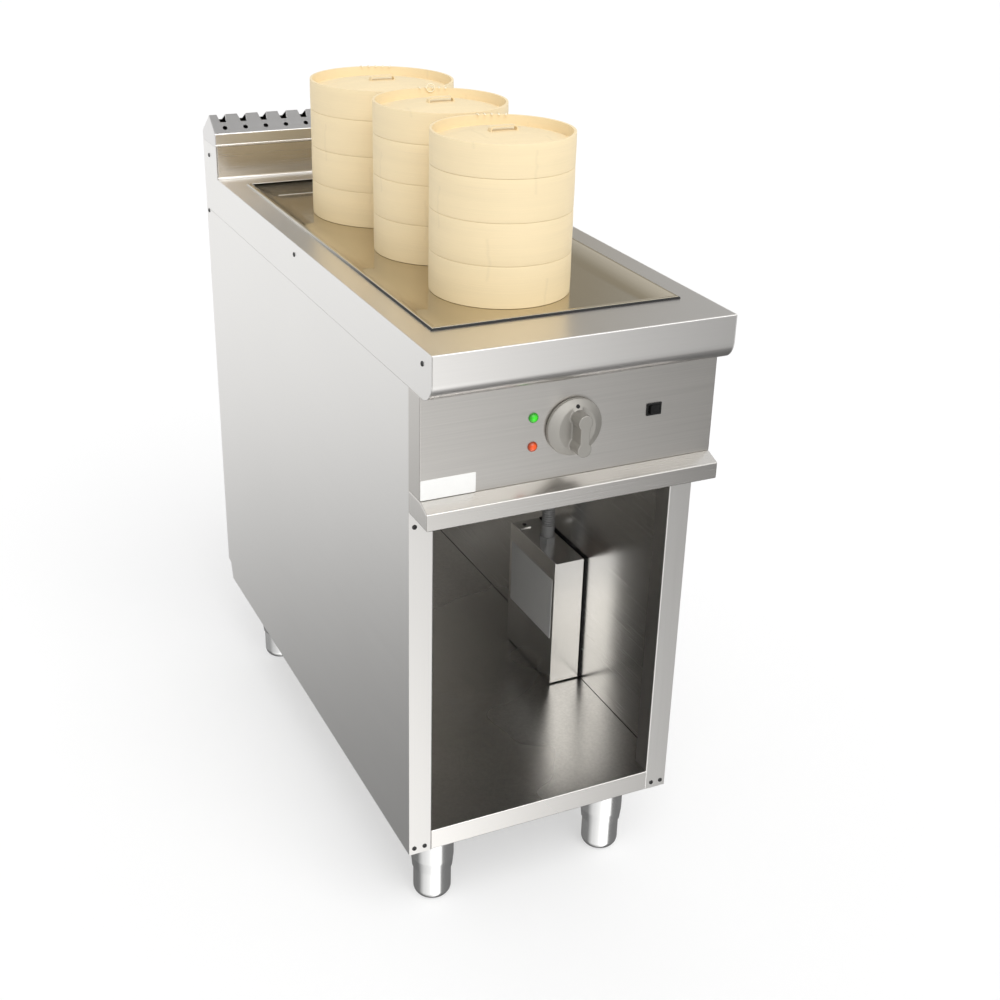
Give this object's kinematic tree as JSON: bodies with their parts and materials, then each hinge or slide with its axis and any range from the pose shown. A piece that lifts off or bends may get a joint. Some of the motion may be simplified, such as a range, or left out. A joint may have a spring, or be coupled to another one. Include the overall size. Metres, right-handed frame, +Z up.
{
  "type": "dumpling steamer",
  "caption": "Free-standing stainless steamer cabinet on adjustable legs, with a shallow steaming well, rear flue, control panel and stacked bamboo baskets.",
  "frame": {"origin": "on the floor under the middle of the cabinet's width and depth", "axes": "+X to the right seen from the front, +Y from the control panel towards the flue, +Z up"},
  "size_m": [0.4026, 0.93, 1.0644],
  "materials": {
    "side_steel": "satin",
    "post_steel": "satin",
    "panel_steel": "brushed along the panel",
    "worktop_steel": "fine satin",
    "well_steel": "polished",
    "flue_steel": "satin",
    "inner_steel": "dull",
    "box_steel": "satin",
    "leg_steel": "polished",
    "element_steel": "satin",
    "valve_brass": "satin",
    "lever_red": "satin",
    "knob_grey": "satin",
    "lens_green": "glossy",
    "lens_orange": "glossy",
    "switch_black": "glossy",
    "stat_grey": "matte",
    "plate_white": "matte",
    "conduit_grey": "satin",
    "screw_steel": "polished",
    "bamboo_hoop": "satin",
    "bamboo_slat": "satin",
    "bamboo_dome": "satin, woven"
  },
  "bodies": {
    "cabinet": {"side_panel_left": "side_steel", "side_panel_right": "side_steel", "back_panel": "side_steel", "cabinet_floor": "inner_steel", "service_deck": "inner_steel", "front_post_left": "post_steel", "front_post_right": "post_steel", "control_panel": "panel_steel", "drip_ledge": "panel_steel", "worktop": "worktop_steel", "end_trim_left": "side_steel", "end_trim_right": "side_steel", "steaming_well": "well_steel", "water_tank": "inner_steel", "heating_element": "element_steel", "drain_valve": "valve_brass", "flue_duct": "worktop_steel", "thermostat": "stat_grey", "lamp_green": "lens_green", "lamp_orange": "lens_orange", "switch_housing": "switch_black", "junction_box": "box_steel", "junction_cover": "box_steel", "terminal_block": "plate_white", "conduit": "conduit_grey", "leg_sleeves": "leg_steel", "screws": "screw_steel"},
    "knob": {"knob": "knob_grey", "thermostat_shaft": "element_steel"},
    "rocker": {"switch_rocker": "switch_black"},
    "drain_handle": {"drain_lever": "lever_red"},
    "flue_top": {"flue_cap": "flue_steel"},
    "front_left_foot": {"foot_front_left": "leg_steel"},
    "front_right_foot": {"foot_front_right": "leg_steel"},
    "rear_left_foot": {"foot_rear_left": "leg_steel"},
    "rear_right_foot": {"foot_rear_right": "leg_steel"},
    "front_tier_low": {"front_hoop_low": "bamboo_hoop", "front_slats_low": "bamboo_slat"},
    "front_tier_mid": {"front_hoop_mid": "bamboo_hoop", "front_slats_mid": "bamboo_slat"},
    "front_tier_top": {"front_hoop_top": "bamboo_hoop", "front_slats_top": "bamboo_slat"},
    "front_lid": {"front_lid_hoop": "bamboo_hoop", "front_lid_dome": "bamboo_dome"},
    "middle_tier_low": {"middle_hoop_low": "bamboo_hoop", "middle_slats_low": "bamboo_slat"},
    "middle_tier_mid": {"middle_hoop_mid": "bamboo_hoop", "middle_slats_mid": "bamboo_slat"},
    "middle_tier_top": {"middle_hoop_top": "bamboo_hoop", "middle_slats_top": "bamboo_slat"},
    "middle_lid": {"middle_lid_hoop": "bamboo_hoop", "middle_lid_dome": "bamboo_dome"},
    "back_tier_low": {"back_hoop_low": "bamboo_hoop", "back_slats_low": "bamboo_slat"},
    "back_tier_mid": {"back_hoop_mid": "bamboo_hoop", "back_slats_mid": "bamboo_slat"},
    "back_tier_top": {"back_hoop_top": "bamboo_hoop", "back_slats_top": "bamboo_slat"},
    "back_lid": {"back_lid_hoop": "bamboo_hoop", "back_lid_dome": "bamboo_dome"}
  },
  "joints": [
    {"name": "knob_turn", "type": "hinge", "parent": "cabinet", "child": "knob", "pos_m": [-0.0005, -0.432, 0.744], "axis": [0, 1, 0], "range_deg": [0, 270]},
    {"name": "rocker_tip", "type": "hinge", "parent": "cabinet", "child": "rocker", "pos_m": [0.1122, -0.428, 0.7485], "axis": [0, 0, -1], "range_deg": [0, 18]},
    {"name": "drain_turn", "type": "hinge", "parent": "cabinet", "child": "drain_handle", "pos_m": [-0.08, 0.195, 0.6085], "axis": [0, 1, 0], "range_deg": [0, 90]},
    {"name": "flue_top_lift", "type": "slide", "parent": "cabinet", "child": "flue_top", "axis": [0, 0, 1], "range_m": [0, 0.08]},
    {"name": "front_left_foot_screw", "type": "slide", "parent": "cabinet", "child": "front_left_foot", "axis": [0, 0, -1], "range_m": [0, 0.03]},
    {"name": "front_right_foot_screw", "type": "slide", "parent": "cabinet", "child": "front_right_foot", "axis": [0, 0, -1], "range_m": [0, 0.03]},
    {"name": "rear_left_foot_screw", "type": "slide", "parent": "cabinet", "child": "rear_left_foot", "axis": [0, 0, -1], "range_m": [0, 0.03]},
    {"name": "rear_right_foot_screw", "type": "slide", "parent": "cabinet", "child": "rear_right_foot", "axis": [0, 0, -1], "range_m": [0, 0.03]},
    {"name": "front_low_lift", "type": "slide", "parent": "cabinet", "child": "front_tier_low", "axis": [0, 0, 1], "range_m": [0, 0.1]},
    {"name": "front_mid_lift", "type": "slide", "parent": "front_tier_low", "child": "front_tier_mid", "axis": [0, 0, 1], "range_m": [0, 0.1]},
    {"name": "front_top_lift", "type": "slide", "parent": "front_tier_mid", "child": "front_tier_top", "axis": [0, 0, 1], "range_m": [0, 0.1]},
    {"name": "front_lid_lift", "type": "slide", "parent": "front_tier_top", "child": "front_lid", "axis": [0, 0, 1], "range_m": [0, 0.12]},
    {"name": "middle_low_lift", "type": "slide", "parent": "cabinet", "child": "middle_tier_low", "axis": [0, 0, 1], "range_m": [0, 0.1]},
    {"name": "middle_mid_lift", "type": "slide", "parent": "middle_tier_low", "child": "middle_tier_mid", "axis": [0, 0, 1], "range_m": [0, 0.1]},
    {"name": "middle_top_lift", "type": "slide", "parent": "middle_tier_mid", "child": "middle_tier_top", "axis": [0, 0, 1], "range_m": [0, 0.1]},
    {"name": "middle_lid_lift", "type": "slide", "parent": "middle_tier_top", "child": "middle_lid", "axis": [0, 0, 1], "range_m": [0, 0.12]},
    {"name": "back_low_lift", "type": "slide", "parent": "cabinet", "child": "back_tier_low", "axis": [0, 0, 1], "range_m": [0, 0.1]},
    {"name": "back_mid_lift", "type": "slide", "parent": "back_tier_low", "child": "back_tier_mid", "axis": [0, 0, 1], "range_m": [0, 0.1]},
    {"name": "back_top_lift", "type": "slide", "parent": "back_tier_mid", "child": "back_tier_top", "axis": [0, 0, 1], "range_m": [0, 0.1]},
    {"name": "back_lid_lift", "type": "slide", "parent": "back_tier_top", "child": "back_lid", "axis": [0, 0, 1], "range_m": [0, 0.12]}
  ]
}
